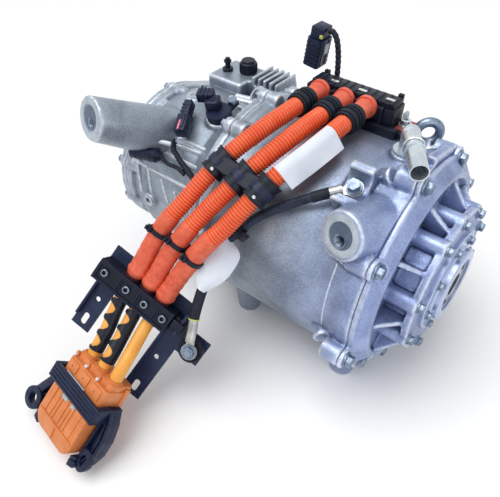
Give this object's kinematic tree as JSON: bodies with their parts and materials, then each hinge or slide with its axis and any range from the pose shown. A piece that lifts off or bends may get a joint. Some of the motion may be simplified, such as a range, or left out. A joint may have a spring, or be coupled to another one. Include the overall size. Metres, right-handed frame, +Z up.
{
  "type": "electric drive unit",
  "caption": "Compact electric drive unit: motor housing, offset reduction gearbox with differential, orange high voltage cables with connector, earth strap and coolant pipes.",
  "frame": {"origin": "centre of the right output bore's mouth, on the axle line", "axes": "+X out of the right output bore along the axle line, +Z up, the feet rest on the floor at -Z"},
  "size_m": [0.438, 0.5544, 0.3343],
  "materials": {
    "cast_aluminium": "as cast",
    "turned_aluminium": "turned",
    "plated_steel": "zinc plated",
    "lamination_steel": "stacked sheet",
    "winding_copper": "enamelled",
    "gear_steel": "ground",
    "case_iron": "machined casting",
    "black_rubber": "matte",
    "black_plastic": "satin",
    "dark_painted_steel": "satin",
    "orange_cover": "satin",
    "boot_rubber": "matte",
    "lead_cover": "satin",
    "orange_plastic": "satin",
    "tinned_copper": "tinned"
  },
  "bodies": {
    "housing": {"motor_housing": "cast_aluminium", "end_cover": "cast_aluminium", "axle_flange": "turned_aluminium", "gearbox_housing": "cast_aluminium", "gearbox_lid": "cast_aluminium", "main_bolts": "plated_steel", "hub_bolts": "plated_steel", "axle_bolts": "plated_steel", "gearbox_bolts": "plated_steel", "stator_core": "lamination_steel", "stator_windings": "winding_copper", "cooling_jacket": "turned_aluminium", "motor_bearings": "gear_steel", "resolver_stator": "lamination_steel", "gearbox_bearings": "gear_steel", "output_seals": "black_rubber", "terminal_block": "black_plastic", "cable_boots": "boot_rubber", "cable_glands": "black_rubber", "terminal_bolt": "plated_steel", "coolant_pipes": "turned_aluminium", "lifting_eye": "plated_steel", "earth_bolt": "plated_steel", "earth_lugs": "tinned_copper", "speed_sensor": "black_plastic", "oil_sensor": "black_plastic", "sensor_plug": "black_plastic", "sensor_harness": "black_rubber", "breather": "black_plastic", "pigtail_cable": "black_rubber", "pigtail_plug": "black_plastic", "conduit_1": "orange_cover", "conduit_2": "orange_cover", "conduit_3": "orange_cover", "lead_1": "lead_cover", "lead_2": "lead_cover", "lead_3": "lead_cover", "cable_clamp": "black_plastic", "cable_ties": "black_plastic", "cable_bracket": "dark_painted_steel", "clamp_bar": "black_plastic", "earth_bush": "black_rubber", "earth_strap": "black_rubber", "plug_front": "orange_plastic", "plug_rear": "orange_plastic"},
    "rotor": {"rotor_shaft": "gear_steel", "rotor_core": "lamination_steel", "resolver_rotor": "lamination_steel"},
    "layshaft_set": {"layshaft": "gear_steel", "layshaft_gear": "gear_steel"},
    "differential": {"ring_gear": "gear_steel", "diff_case": "case_iron", "cross_pin": "gear_steel"},
    "spider_top": {"spider_gear_top": "gear_steel"},
    "spider_bottom": {"spider_gear_bottom": "gear_steel"},
    "left_output": {"left_output_shaft": "gear_steel", "left_coupling": "gear_steel"},
    "right_output": {"right_output_shaft": "gear_steel", "right_coupling": "gear_steel"},
    "lever": {"plug_lever": "black_plastic"}
  },
  "joints": [
    {"name": "final_drive_spin", "type": "hinge", "parent": "housing", "child": "differential", "pos_m": [-0.36, 0, 0], "axis": [1, 0, 0], "continuous": true},
    {"name": "layshaft_spin", "type": "hinge", "parent": "housing", "child": "layshaft_set", "pos_m": [-0.3, 0.09511, -0.0309], "axis": [1, 0, 0], "continuous": true},
    {"name": "rotor_spin", "type": "hinge", "parent": "housing", "child": "rotor", "pos_m": [-0.16, 0, 0], "axis": [1, 0, 0], "continuous": true},
    {"name": "left_output_spin", "type": "hinge", "parent": "differential", "child": "left_output", "pos_m": [-0.4, 0, 0], "axis": [1, 0, 0], "continuous": true},
    {"name": "right_output_spin", "type": "hinge", "parent": "differential", "child": "right_output", "pos_m": [-0.2, 0, 0], "axis": [1, 0, 0], "continuous": true},
    {"name": "spider_top_spin", "type": "hinge", "parent": "differential", "child": "spider_top", "pos_m": [-0.36, 0, 0.02], "axis": [0, 0, 1], "continuous": true},
    {"name": "spider_bottom_spin", "type": "hinge", "parent": "differential", "child": "spider_bottom", "pos_m": [-0.36, 0, -0.02], "axis": [0, 0, 1], "continuous": true},
    {"name": "lever_swing", "type": "hinge", "parent": "housing", "child": "lever", "pos_m": [-0.26033, -0.3379, -0.12228], "axis": [0.9903, -0.1392, 0], "range_deg": [0, 80]}
  ],
  "couplings": [
    {"joint": "layshaft_spin", "follows": "final_drive_spin", "ratio": -3.5455},
    {"joint": "rotor_spin", "follows": "final_drive_spin", "ratio": 10.636},
    {"joint": "right_output_spin", "follows": "left_output_spin", "ratio": -1},
    {"joint": "spider_top_spin", "follows": "left_output_spin", "ratio": 1.6},
    {"joint": "spider_bottom_spin", "follows": "left_output_spin", "ratio": -1.6}
  ]
}
